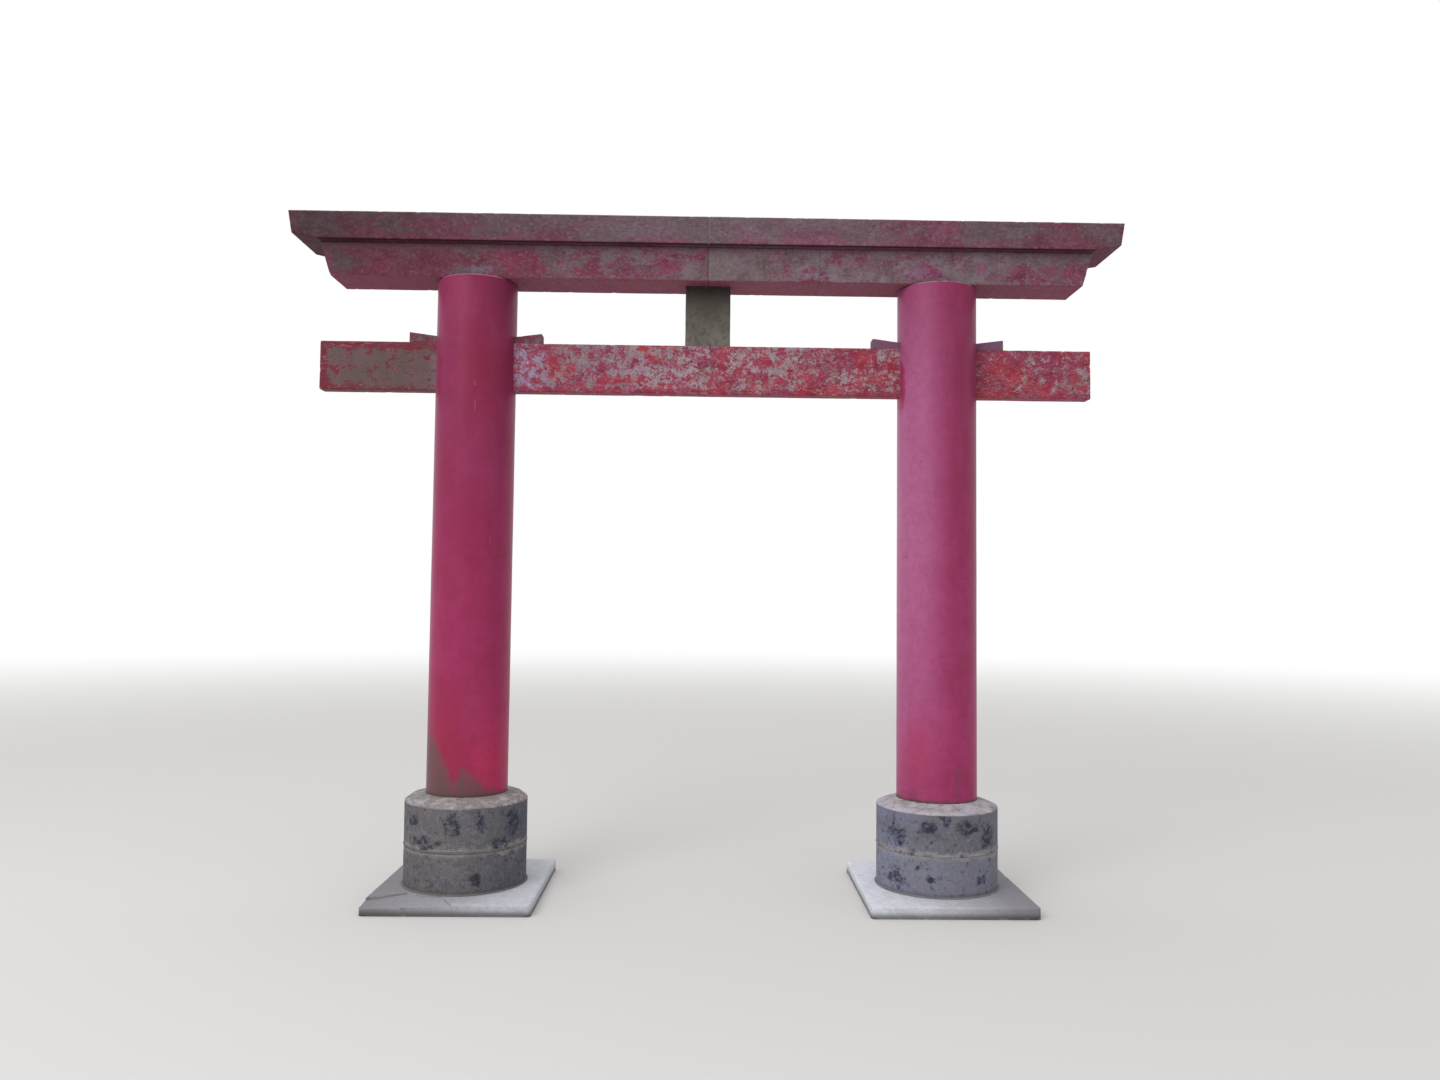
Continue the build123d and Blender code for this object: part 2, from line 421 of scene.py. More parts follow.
def turned(name, middle_x, outline, cell, visible, around=ring_around):
    """A piece turned about a pillar's axis from an outline of (radius, height) points.

    The visible first sides of the outline are divided into cells, and around is the number of
    steps in a full turn."""
    points = []
    for number, (start, end) in enumerate(zip(outline, outline[1:] + outline[:1])):
        side = hypot(end[0] - start[0], end[1] - start[1])
        cells = max(1, round(side / cell)) if number < visible else 1
        for step in range(cells):
            share = step / cells
            radius = start[0] + (end[0] - start[0]) * share
            points.append((middle_x + radius, 0, start[1] + (end[1] - start[1]) * share))
    sides = [(number, (number + 1) % len(points)) for number in range(len(points))]
    mesh = bpy.data.meshes.new(name)
    mesh.from_pydata(points, sides, [])
    piece = bpy.data.objects.new(name, mesh)
    bpy.context.scene.collection.objects.link(piece)
    open_for_editing(piece)
    bpy.ops.mesh.select_all(action="SELECT")
    bpy.ops.mesh.spin(steps=around, angle=tau, center=(middle_x, 0, 0), axis=(0, 0, 1))
    bpy.ops.mesh.select_all(action="SELECT")
    bpy.ops.mesh.remove_doubles(threshold=weld_distance)
    bpy.ops.mesh.normals_make_consistent(inside=False)
    bpy.ops.object.mode_set(mode="OBJECT")
    return piece


def round_box(node):
    """The low and high corners of a round solid, and the middle and the radius that they give."""
    low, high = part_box(node)
    return low, high, (low.x + high.x) / 2, (high.x - low.x) / 2


# Where the mould has grown: the centre of each patch, and its reach along the three axes.
ring_mould = {
    "left": [
        ((-1.250, -0.195, 0.350), (0.08, 0.06, 0.05)),
        ((-1.063, -0.270, 0.346), (0.06, 0.03, 0.08)),
        ((-0.950, -0.245, 0.355), (0.06, 0.03, 0.07)),
        ((-0.830, -0.140, 0.330), (0.06, 0.09, 0.12)),
        ((-1.190, -0.235, 0.260), (0.17, 0.07, 0.06)),
        ((-0.870, -0.190, 0.255), (0.13, 0.08, 0.05)),
        ((-0.960, -0.251, 0.110), (0.05, 0.03, 0.06)),
    ],
    "right": [
        ((0.850, -0.170, 0.300), (0.10, 0.09, 0.09)),
        ((0.975, -0.256, 0.345), (0.09, 0.04, 0.06)),
        ((1.047, -0.270, 0.385), (0.04, 0.03, 0.06)),
        ((1.140, -0.260, 0.350), (0.13, 0.05, 0.06)),
        ((1.240, -0.200, 0.300), (0.08, 0.08, 0.09)),
        ((0.850, -0.165, 0.123), (0.11, 0.08, 0.08)),
        ((0.930, -0.236, 0.172), (0.02, 0.02, 0.02)),
        ((0.977, -0.257, 0.127), (0.035, 0.03, 0.03)),
        ((1.209, -0.225, 0.120), (0.06, 0.05, 0.04)),
    ],
}


def ring_concrete(side):
    """Mottled grey concrete with painted bluish skylight on its sides, strongest towards the
    middle of the gate, and dashes of black mould and smeared mortar.
    """
    joint_low, joint_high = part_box(side + "_ring_joint")
    finish = Finish("ring_concrete_" + side, shade(108, 101, 106), roughness=0.85, gloss=0.2)
    olive = finish.patches(size=0.08, share=0.4, softness=0.3)
    finish.lay(shade(106, 104, 92), olive, cover=0.6)
    pale = finish.patches(size=0.05, share=0.3, softness=0.4, shift=13.0)
    finish.lay(shade(134, 130, 130), pale, cover=0.3)
    blue = finish.patches(size=0.06, share=0.3, softness=0.4, shift=17.0)
    finish.lay(shade(84, 94, 116), blue, cover=0.35)
    # Painted light: a bluish skylight tint on the ring's sides, strongest towards the middle of
    # the gate.
    if side == "left":
        painted_skylight_tint = shade(76, 82, 98)
        turns = [(-1.33, 0.4), (-1.2, 0.0), (-0.98, 0.1), (-0.85, 0.9), (-0.79, 1.0)]
    else:
        painted_skylight_tint = shade(124, 130, 158)
        turns = [(0.79, 1.0), (0.9, 0.8), (1.0, 0.35), (1.15, 0.25), (1.3, 0.7)]
    uneven = finish.patches(size=0.09, share=0.75, softness=0.5)
    finish.lay(painted_skylight_tint, finish.graph(finish.x, turns), uneven, cover=0.8)
    if side == "right":
        lower_course = finish.ramp(finish.z, start=joint_high.z, end=joint_low.z)
        finish.lay(shade(146, 148, 166), lower_course, cover=0.35)
    mottle = finish.clouds(size=0.012, detail=6.0, stretch=(1, 1, 1.6), grain=0.75)
    finish.lay(shade(154, 152, 152), finish.ramp(mottle, start=0.52, end=0.76), cover=0.7)
    finish.lay(shade(48, 46, 54), finish.ramp(mottle, start=0.46, end=0.22), cover=0.7)
    off_seam = finish.math("SUBTRACT", finish.z, (joint_low.z + joint_high.z) / 2)
    reach = finish.scaled(finish.swing(size=0.05, detail=6.0, shift=8.0), by=0.08, plus=0.014)
    past_smear = finish.math("SUBTRACT", finish.math("ABSOLUTE", off_seam), reach)
    smear = finish.ramp(past_smear, start=0.012, end=-0.008)
    finish.lay(shade(152, 148, 148), smear, cover=0.65)
    mould = shade(38, 40, 54)
    grown = finish.blots(ring_mould[side], size=0.035, raggedness=1.4, softness=0.5)
    finish.lay(shade(60, 64, 86), grown, cover=0.2 if side == "left" else 0.45)
    dashes = finish.patches(
        size=0.022,
        share=0.58,
        softness=0.1,
        frayed=0.5,
        stretch=(1.3, 1.3, 1),
        detail=6.0,
        shift=5.0,
    )
    finish.lay(mould, grown, dashes, cover=0.8)
    growth = finish.patches(
        size=0.024,
        share=0.19,
        softness=0.12,
        frayed=0.7,
        stretch=(1.4, 1.4, 1),
        detail=9.0,
        grain=0.7,
        shift=2.0,
    )
    finish.lay(mould, growth, cover=0.6)
    holes = finish.spots(size=0.010, share=0.08)
    finish.lay(mould, holes, cover=0.85)
    finish.lay(shade(150, 146, 146), finish.mark("chipped"), cover=0.35)
    bed_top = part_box(side + "_bed_joint")[1].z
    foot = finish.ramp(finish.z, start=bed_top + 0.019, end=bed_top)
    finish.lay(shade(84, 78, 72), foot, cover=0.5)
    finish.relief(mottle, depth=0.0006)
    finish.relief(holes, depth=-0.0015)
    return finish.finished()


for side in ("left", "right"):
    ring_material = ring_concrete(side)
    for course in ("lower", "upper"):
        node = f"{side}_{course}_ring"
        low, high, middle_x, radius = round_box(node)
        bore = radius - ring_wall
        outline = [(radius, low.z), (radius, high.z), (bore, high.z), (bore, low.z)]
        ring = turned(node + "_cast", middle_x, outline, ring_cell, visible=1)
        seats = [(2, low.z), (2, high.z)]
        press_in(ring, ring_dips, ring_dip_size, seats=seats)
        chip_edges(ring, ring_chips, ring_chip_size, seats=seats)
        put_in_place(ring, node, ring_material)


# Mortar beds under the lower rings and mortar joints between the rings: thin lines of pale cement
# mortar, squeezed out and struck off by hand, so that they wander in and out round the pedestal.
mortar_cell = 0.003
bed_fillet = 0.008
joint_bead = 0.0025
mortar_dips = 0.0018
mortar_dip_size = 0.03


def joint_mortar(side):
    """Gritty cement mortar, dulled in patches, with specks of mould."""
    mortar = shade(120, 115, 113) if side == "left" else shade(142, 139, 145)
    finish = Finish("joint_mortar_" + side, mortar, roughness=0.9, gloss=0.15)
    dull_share = 0.7 if side == "left" else 0.3
    dulled = finish.patches(size=0.07, share=dull_share, softness=0.2, detail=7.0)
    finish.lay(shade(104, 98, 98), dulled, cover=0.9)
    mould = finish.patches(size=0.02, share=0.15, softness=0.1, detail=8.0)
    finish.lay(shade(52, 52, 60), mould, cover=0.8)
    bed_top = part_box(side + "_bed_joint")[1].z
    damp = finish.ramp(finish.z, start=bed_top + 0.02, end=bed_top)
    finish.lay(shade(108, 105, 106), damp, cover=0.7)
    finish.relief(finish.clouds(size=0.003, detail=4.0), depth=0.0006)
    return finish.finished()


for side in ("left", "right"):
    joint_material = joint_mortar(side)
    low, high, middle_x, foot = round_box(side + "_bed_joint")
    bore = foot - bed_fillet - ring_wall
    outline = [(foot, low.z), (foot - bed_fillet, high.z), (bore, high.z), (bore, low.z)]
    bed = turned(side + "_bed_mortar", middle_x, outline, mortar_cell, visible=1)
    press_in(bed, mortar_dips, mortar_dip_size, seats=[(2, low.z), (2, high.z)])
    put_in_place(bed, side + "_bed_joint", joint_material)

    low, high, middle_x, bead = round_box(side + "_ring_joint")
    flush = bead - joint_bead
    bore = flush - ring_wall
    middle = (low.z + high.z) / 2
    outline = [(flush, low.z), (bead, middle), (flush, high.z), (bore, high.z), (bore, low.z)]
    joint = turned(side + "_joint_mortar", middle_x, outline, mortar_cell, visible=2)
    press_in(joint, mortar_dips, mortar_dip_size, seats=[(2, low.z), (2, high.z)])
    put_in_place(joint, side + "_ring_joint", joint_material)


# Mortar collars: cement mortar packed between pillar and rings and trowelled up to the pillar in a
# slope that throws the rain off. The trowel has left it wavy, and its lower edge is broken.
collar_cell = 0.006
collar_edge = 0.005
collar_rise = 0.036
collar_shoulder_inset = 0.025
collar_shoulder = {"left": 0.025, "right": 0.017}
collar_dips = 0.0035
collar_dip_size = 0.07
collar_chips = 0.003
collar_chip_size = 0.03


def collar_mortar(side, middle_x):
    """Trowelled cement mortar with moss and dirt in patches, painted shade on the left collar's
    left side and painted light on the right collar's left side.
    """
    mortar = shade(144, 138, 141) if side == "left" else shade(176, 171, 182)
    finish = Finish("collar_mortar_" + side, mortar, roughness=0.85, gloss=0.15)
    brown = finish.patches(size=0.11, share=0.4, softness=0.25)
    finish.lay(shade(124, 114, 112), brown, cover=0.7)
    # Painted shade on the left collar's left side, painted light on the right collar's left side.
    leftward = finish.ramp(finish.x, start=middle_x - 0.02, end=middle_x - 0.22)
    outer = shade(122, 120, 130) if side == "left" else shade(178, 176, 186)
    finish.lay(outer, leftward, cover=0.3)
    drag = finish.patches(size=0.018, share=0.35, softness=0.12, stretch=(3, 3, 1), detail=8.0)
    finish.lay(shade(186, 182, 184), drag, cover=0.5)
    moss = finish.patches(size=0.05, share=0.22, softness=0.2, detail=9.0, shift=7.0)
    finish.lay(shade(116, 112, 94), moss, cover=0.5)
    dirt = finish.patches(size=0.02, share=0.12, softness=0.1, detail=9.0, grain=0.7, shift=4.0)
    finish.lay(shade(78, 72, 70), dirt, cover=0.6)
    finish.relief(finish.clouds(size=0.02, detail=7.0, grain=0.7), depth=0.0022)
    return finish.finished()


for side in ("left", "right"):
    node = side + "_mortar_collar"
    low, high, middle_x, edge = round_box(node)
    inner = round_box(side + "_pillar")[-1]
    foot = high.z - collar_rise
    shoulder = collar_shoulder[side]
    outline = [
        (edge, foot),
        (edge, foot + collar_edge),
        (edge - collar_shoulder_inset, foot + shoulder),
        (inner, high.z),
        (inner, low.z),
        (edge - ring_wall, low.z),
        (edge - ring_wall, foot),
    ]
    collar = turned(node + "_trowelled", middle_x, outline, collar_cell, visible=3)
    press_in(collar, collar_dips, collar_dip_size, seats=[(2, foot)])
    chip_edges(collar, collar_chips, collar_chip_size, seats=[(2, foot)])
    put_in_place(collar, node, collar_mortar(side, middle_x))


# Pillars: round concrete cast in a tube form, rubbed smooth and painted thickly in crimson. A
# mortise runs through each, as wide as the tie beam, its roof sloping up to both mouths.
pillar_cell = 0.010
pillar_around = 120
pillar_rim = 0.007
pillar_dips = 0.0012
pillar_dip_size = 0.3
mortise_clearance = 0.001
mortise_mouth = 0.302
mortise_mouth_rise = 0.046
mortise_throat = 0.030
mortise_throat_rise = 0.0102


def pillar_paint(side, middle_x):
    """Satin crimson paint, faded in soft clouds, lightly scratched, worn and damp at the foot.

    It also carries painted shade towards the head, painted light and a painted sheen on parts of
    the sides, and a rim that is partly worn and partly a painted highlight.
    """
    paint = shade(166, 48, 96) if side == "left" else shade(168, 54, 106)
    finish = Finish("pillar_paint_" + side, paint, roughness=0.4, gloss=0.15)
    # Painted shade: the paint darkens towards the head, where the lintels shade the pillar.
    painted_head_shade = shade(122, 38, 72) if side == "left" else shade(132, 46, 82)
    upward = finish.graph(finish.z, [(0.4, 0.0), (1.3, 0.25), (2.0, 0.75), (2.75, 1.0)])
    finish.lay(painted_head_shade, upward)
    faded = finish.patches(size=0.3, share=0.4, softness=0.3)
    finish.lay(shade(158, 58, 102), faded, cover=0.4)
    red = finish.patches(size=0.16, share=0.35, softness=0.25, shift=5.0)
    finish.lay(shade(140, 36, 68), red, cover=0.4)
    foot_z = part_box(side + "_mortar_collar")[1].z
    head_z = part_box(side + "_pillar")[1].z
    waver = finish.scaled(finish.swing(size=0.05, detail=7.0), by=0.04)
    if side == "left":
        sheltered = finish.near((-0.98, -0.15, 2.33), reach=(0.16, 0.2, 0.24))
        finish.lay(shade(132, 34, 58), sheltered, cover=0.6)
        scuffs = [
            ((-1.028, -0.177, 2.262), (0.012, 0.03, 0.03)),
            ((-1.026, -0.177, 2.163), (0.008, 0.03, 0.05)),
            ((-0.953, -0.145, 1.568), (0.006, 0.03, 0.03)),
        ]
        scuffed = finish.blots(scuffs, size=0.012, raggedness=1.4)
        finish.lay(shade(176, 116, 146), scuffed, cover=0.2)
        reddened = finish.near((-1.12, -0.15, 0.62), reach=(0.16, 0.25, 0.45))
        finish.lay(shade(154, 42, 64), reddened, cover=0.8)
        # Painted light on the lower right side of the left pillar.
        painted_foot_light = finish.near((-0.93, -0.13, 0.56), reach=(0.16, 0.25, 0.4))
        finish.lay(shade(188, 50, 88), painted_foot_light, cover=0.8)
    else:
        # Painted light: the left front half of the right pillar is paler, where light falls on it
        # from the left.
        painted_light_border = finish.scaled(finish.clouds(size=0.12, detail=5.0), by=0.07, plus=finish.x)
        across = finish.ramp(painted_light_border, start=middle_x + 0.10, end=middle_x - 0.12)
        heights = [(0.4, 0.15), (0.8, 0.7), (1.6, 1.0), (2.3, 0.85), (2.75, 0.3)]
        finish.lay(shade(188, 114, 160), across, finish.graph(finish.z, heights), cover=0.8)
        red_patch = [((0.884, -0.05, 2.30), (0.040, 0.1, 0.24))]
        kept = finish.blots(red_patch, size=0.05, raggedness=0.6, softness=0.35)
        finish.lay(shade(160, 36, 66), kept, cover=0.8)
    mottle = finish.patches(size=0.035, share=0.5, softness=0.5, detail=7.0, grain=0.65, shift=7.0)
    finish.lay(shade(120, 32, 64), mottle, cover=0.25)
    streaks = finish.patches(
        size=0.05, share=0.4, softness=0.6, stretch=(1, 1, 4), detail=6.0, shift=9.0
    )
    finish.lay(shade(176, 84, 132), streaks, cover=0.1 if side == "left" else 0.2)
    flecks = finish.patches(
        size=0.014, share=0.06, softness=0.06, stretch=(1, 1, 2), detail=9.0, grain=0.75
    )
    finish.lay(shade(112, 40, 62), flecks, cover=0.3)
    rubbed = finish.patches(size=0.14, share=0.3, softness=0.15, shift=3.0)
    scratches = finish.worms(size=0.12, width=0.004, stretch=(3, 3, 0.5), detail=4.0, curl=0.6)
    finish.lay(shade(104, 38, 60), scratches, rubbed, cover=0.5)
    if side == "left":
        edge = [
            (-1.240, 0.72),
            (-1.181, 0.687),
            (-1.148, 0.63),
            (-1.108, 0.58),
            (-1.098, 0.52),
            (-1.079, 0.50),
            (-1.062, 0.52),
            (-1.050, 0.574),
            (-1.012, 0.54),
            (-0.963, 0.492),
            (-0.925, 0.461),
            (-0.880, 0.44),
        ]
        under = finish.math("SUBTRACT", finish.graph(finish.x, edge), finish.z)
        under = finish.math("ADD", under, waver)
        depths = [(-0.05, 0.0), (-0.02, 0.3), (0.0, 0.6), (0.02, 0.85), (0.04, 1.0)]
        worn = finish.patches(
            size=0.035,
            share=finish.scaled(finish.graph(under, depths), by=1.8, plus=-0.6),
            softness=0.4,
            frayed=0.7,
            stretch=(1, 1, 1.4),
            detail=8.0,
            grain=0.7,
            shift=6.0,
        )
        finish.lay(shade(110, 76, 81), worn, cover=0.88)
        deep_in = finish.ramp(under, start=0.0, end=0.12)
        greyed = finish.patches(size=0.05, share=0.6, softness=0.3)
        finish.lay(shade(96, 80, 76), deep_in, greyed, cover=0.6)
        # Painted shade along the left edge of the left pillar's foot.
        painted_edge_shade = finish.near((-1.26, -0.04, 0.64), reach=(0.10, 0.2, 0.34))
        finish.lay(shade(84, 44, 52), painted_edge_shade, cover=0.75)
        finish.relief(worn, depth=-0.0004)
        # Painted reflection: a pale bluish sheen of sky along the left pillar's left edge.
        film_and_sheen = finish.ramp(finish.x, start=middle_x - 0.14, end=middle_x - 0.175)
        finish.lay(shade(148, 108, 136), film_and_sheen, cover=0.35)
    else:
        rubs = [
            ((1.118, -0.170, 0.53), (0.035, 0.06, 0.12)),
            ((0.93, -0.130, 0.46), (0.06, 0.08, 0.05)),
        ]
        dulled = finish.blots(rubs, size=0.04, raggedness=1.0, softness=0.8)
        finish.lay(shade(120, 70, 86), dulled, cover=0.45)
        reddened = finish.near((0.95, -0.14, 0.66), reach=(0.10, 0.2, 0.28))
        finish.lay(shade(172, 44, 78), reddened, cover=0.45)
    damp = finish.math("ADD", finish.z, waver)
    damp = finish.ramp(damp, start=foot_z + 0.018, end=foot_z - 0.002)
    finish.lay(shade(84, 72, 64), damp, cover=0.9)
    # The rim at the head is pale, partly from wear and partly a painted highlight where the
    # chamfer catches the sky.
    rim = finish.ramp(finish.z, start=head_z - 0.006, end=head_z - 0.002)
    rim_wear_and_highlight = finish.patches(size=0.05, share=0.8, softness=0.2)
    finish.lay(shade(188, 150, 160), rim, rim_wear_and_highlight, cover=0.8)
    finish.relief(finish.clouds(size=0.09, detail=4.0), depth=0.0010)
    finish.relief(finish.clouds(size=0.006, detail=3.0), depth=0.00012)
    return finish.finished()


beam_low, beam_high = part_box("tie_beam")
for side in ("left", "right"):
    node = side + "_pillar"
    low, high, middle_x, radius = round_box(node)
    outline = [
        (radius, low.z),
        (radius, high.z - pillar_rim),
        (radius - pillar_rim, high.z),
        (0, high.z),
        (0, low.z),
    ]
    name = node + "_shaft"
    pillar = turned(name, middle_x, outline, pillar_cell, visible=3, around=pillar_around)
    press_in(pillar, pillar_dips, pillar_dip_size)

    throat = beam_high.z + mortise_throat_rise
    half_width = beam_high.y + mortise_clearance
    mouth_size = (2 * mortise_mouth, 2 * half_width, throat - beam_low.z)
    mouth_middle = (middle_x, 0, (throat + beam_low.z) / 2)
    bpy.ops.mesh.primitive_cube_add(size=1, location=mouth_middle, scale=mouth_size)
    mortise = bpy.context.object
    bpy.ops.object.transform_apply(location=True, rotation=True, scale=True)
    open_for_editing(mortise)
    for end in (-1, 1):
        bpy.ops.mesh.select_all(action="SELECT")
        throat_end = (middle_x + end * mortise_throat, 0, 0)
        bpy.ops.mesh.bisect(plane_co=throat_end, plane_no=(1, 0, 0))
    bpy.ops.mesh.select_all(action="DESELECT")
    shape = bmesh.from_edit_mesh(mortise.data)
    for point in shape.verts:
        at_mouth = abs(point.co.x - middle_x) > (mortise_throat + mortise_mouth) / 2
        point.select_set(at_mouth and point.co.z > beam_high.z)
    shape.select_flush_mode()
    bpy.ops.transform.translate(value=(0, 0, mortise_mouth_rise - mortise_throat_rise))
    bpy.ops.object.mode_set(mode="OBJECT")

    cut = pillar.modifiers.new("mortise", "BOOLEAN")
    cut.object = mortise
    cut.solver = "EXACT"
    bpy.context.view_layer.objects.active = pillar
    bpy.ops.object.modifier_apply(modifier="mortise")
    bpy.data.objects.remove(mortise)
    put_in_place(pillar, node, pillar_paint(side, middle_x))


# Tie beam: one long concrete beam through both pillars, painted vermilion. The paint has flaked in
# sheets and worms down to the grey skin, most on the left, and the arrises are chipped.
beam_cell = 0.009
beam_dips = 0.0012
beam_dip_size = 0.2
beam_chips = 0.0035
beam_chip_size = 0.03


def beam_paint():
    """Vermilion and crimson paint over grey skin, flaked off more or less along the beam."""
    finish = Finish("beam_paint", shade(150, 50, 74), roughness=0.6, gloss=0.2)
    stub = finish.ramp(finish.x, start=-1.18, end=-1.30)
    vermilion = finish.patches(size=0.12, share=0.4, softness=0.2, stretch=(2, 1, 1))
    finish.lay(shade(168, 52, 66), vermilion)
    rose = finish.patches(size=0.09, share=0.35, softness=0.2, shift=2.0)
    finish.lay(shade(144, 58, 88), rose)
    finish.lay(shade(112, 40, 52), stub)
    deep = finish.patches(size=0.05, share=0.35, softness=0.3, detail=7.0, grain=0.65, shift=15.0)
    finish.lay(shade(106, 26, 44), deep, cover=0.65)
    film_and_sheen = finish.patches(size=0.012, share=0.2, softness=0.05, stretch=(3, 1, 1))
    finish.lay(shade(164, 104, 122), film_and_sheen, cover=0.5)

    cast = finish.patches(size=0.08, share=0.4, softness=0.2)
    skin = finish.mix(shade(160, 138, 148), shade(144, 126, 126), cast)
    leftward = finish.ramp(finish.x, start=-0.1, end=-0.6)
    skin = finish.mix(skin, shade(132, 112, 122), leftward, cover=0.8)
    lilac = finish.near((-0.82, -0.04, 2.36), reach=(0.14, 0.1, 0.3))
    skin = finish.mix(skin, shade(160, 144, 176), lilac, cover=0.8)
    skin = finish.mix(skin, shade(106, 80, 83), stub)
    olive = finish.patches(size=0.07, share=0.4, softness=0.3, detail=7.0, shift=4.0)
    skin = finish.mix(skin, shade(88, 78, 72), stub, olive, cover=0.8)
    speckle = finish.clouds(size=0.008, detail=5.0, grain=0.7)
    dark_specks = finish.ramp(speckle, start=0.52, end=0.27)
    skin = finish.mix(skin, shade(76, 62, 68), dark_specks, cover=0.8)
    pale_specks = finish.ramp(speckle, start=0.52, end=0.8)
    off_stub = finish.math("SUBTRACT", 1.0, stub)
    skin = finish.mix(skin, shade(206, 194, 198), pale_specks, off_stub, cover=0.7)

    along = [
        (-1.80, 0.72),
        (-1.25, 0.74),
        (-1.00, 0.60),
        (-0.70, 0.50),
        (0.40, 0.40),
        (0.90, 0.36),
        (1.20, 0.16),
        (1.80, 0.24),
    ]
    drift = finish.swing(size=0.16, detail=2.0, shift=12.0)
    share = finish.scaled(drift, by=1.1, plus=finish.graph(finish.x, along))
    low_edge = finish.ramp(finish.z, start=beam_low.z + 0.033, end=beam_low.z + 0.006)
    top_edge = finish.ramp(finish.z, start=beam_high.z - 0.050, end=beam_high.z - 0.010)
    end_edge = finish.ramp(finish.x, start=beam_low.x + 0.049, end=beam_low.x + 0.014)
    spared = finish.scaled(low_edge, by=0.6)
    spared = finish.greatest(spared, finish.product(top_edge, stub), end_edge)
    flaked = finish.patches(
        size=0.04,
        share=finish.scaled(spared, by=-0.75, plus=share),
        softness=0.12,
        frayed=0.7,
        stretch=(1.15, 1, 1.1),
        detail=8.0,
        grain=0.65,
    )
    lifted = finish.worms(size=0.02, width=0.022, stretch=(1.8, 1, 1), detail=6.0, curl=1.0)
    loose = finish.patches(size=0.16, share=0.4, softness=0.15, shift=9.0)
    bare = finish.greatest(flaked, finish.product(lifted, loose), finish.mark("chipped"))
    finish.lay(skin, bare)
    crackle = finish.worms(size=0.03, width=0.03, detail=5.0, curl=1.2, shift=5.0)
    finish.lay(shade(150, 50, 84), crackle, lilac, cover=0.7)
    finish.relief(finish.clouds(size=0.004, detail=4.0), depth=0.0004)
    finish.relief(bare, depth=-0.0004)
    return finish.finished()


beam = cast_of("tie_beam", "tie_beam_cast")
cut_into_cells(beam, beam_cell)
press_in(beam, beam_dips, beam_dip_size)
chip_edges(beam, beam_chips, beam_chip_size)
put_in_place(beam, "tie_beam", beam_paint())


# Wedges: short tapered blocks of painted concrete, driven into both mouths of each mortise above
# the tie beam, so that they bear on the beam and on the mortise's sloping roof.
wedge_cell = 0.006
wedge_chips = 0.003
wedge_chip_size = 0.025


def wedge_paint():
    """Faded paint, mauve to the right, with grey crust on it and on the chipped edges."""
    finish = Finish("wedge_paint", shade(112, 46, 62), roughness=0.6, gloss=0.2)
    finish.lay(shade(126, 84, 122), finish.ramp(finish.x, start=0.0, end=0.5), cover=0.8)
    faded = finish.patches(size=0.06, share=0.4, softness=0.15)
    finish.lay(shade(124, 74, 96), faded, cover=0.6)
    crust = finish.patches(size=0.035, share=0.45, softness=0.08, detail=9.0, grain=0.7, shift=3.0)
    finish.lay(shade(104, 92, 94), finish.greatest(crust, finish.mark("chipped")), cover=0.85)
    finish.relief(finish.clouds(size=0.006, detail=4.0), depth=0.0006)
    finish.relief(crust, depth=-0.0004)
    return finish.finished()


wedge_material = wedge_paint()
for node in ("left_outer_wedge", "left_inner_wedge", "right_inner_wedge", "right_outer_wedge"):
    wedge = cast_of(node, node + "_block")
    cut_into_cells(wedge, wedge_cell)
    chip_edges(wedge, wedge_chips, wedge_chip_size)
    put_in_place(wedge, node, wedge_material)


# Strut: a short upright block of dark cast stone, never painted, that stands on the tie beam and
# bears the lower lintel where its halves meet.
strut_cell = 0.006
strut_dips = 0.0012
strut_dip_size = 0.08
strut_chips = 0.003
strut_chip_size = 0.03


def strut_stone():
    """Bare brown-grey stone, olive in patches, grimy, and darkest up under the lintel, from damp
    and painted shade.
    """
    finish = Finish("strut_stone", shade(114, 107, 102), roughness=0.8, gloss=0.2)
    finish.lay(shade(98, 98, 86), finish.patches(size=0.09, share=0.5, softness=0.2))
    # Darker towards the top: damp, and painted shade up under the lintel.
    upward = finish.graph(finish.z, [(2.5, 0.0), (2.62, 0.4), (2.74, 0.95)])
    finish.lay(shade(50, 41, 38), upward)
    grime = finish.patches(size=0.03, share=0.3, softness=0.12, detail=9.0, grain=0.7, shift=5.0)
    finish.lay(shade(72, 66, 60), grime, cover=0.6)
    finish.lay(shade(128, 120, 112), finish.mark("chipped"), cover=0.5)
    finish.relief(finish.clouds(size=0.004, detail=5.0), depth=0.0007)
    return finish.finished()


strut = cast_of("strut", "strut_block")
cut_into_cells(strut, strut_cell)
press_in(strut, strut_dips, strut_dip_size)
chip_edges(strut, strut_chips, strut_chip_size)
put_in_place(strut, "strut", strut_stone())


# Lintels: a lower and an upper course of concrete laid over the pillars, each in two halves that
# meet over the strut, with outer ends that lean outwards. The old maroon paint shows in patches
# through a crust of grey weathering.
lintel_cell = 0.010
lintel_dips = 0.0018
lintel_dip_size = 0.2
lintel_chips = 0.004
lintel_chip_size = 0.035


def weathered(finish):
    """Lilac tints, fine pale and dark mottling, grain and chipped edges, alike on every lintel."""
    tint = finish.patches(size=0.06, share=0.4, softness=0.6, detail=6.0, shift=9.0)
    finish.lay(shade(126, 100, 118), tint, cover=0.25)
    mottle = finish.clouds(size=0.011, detail=6.0, stretch=(1.3, 1, 1.1), grain=0.8, shift=6.0)
    along = [(-1.9, 0.15), (-1.3, 0.45), (-0.6, 0.75), (0.9, 0.85), (1.9, 0.7)]
    pale = finish.product(finish.ramp(mottle, start=0.5, end=0.74), finish.graph(finish.x, along))
    finish.lay(shade(156, 134, 146), pale, cover=0.8)
    finish.lay(shade(46, 28, 36), finish.ramp(mottle, start=0.48, end=0.27), cover=0.75)
    finish.lay(shade(134, 116, 116), finish.mark("chipped"), cover=0.5)
    finish.relief(finish.clouds(size=0.004, detail=4.0), depth=0.0005)


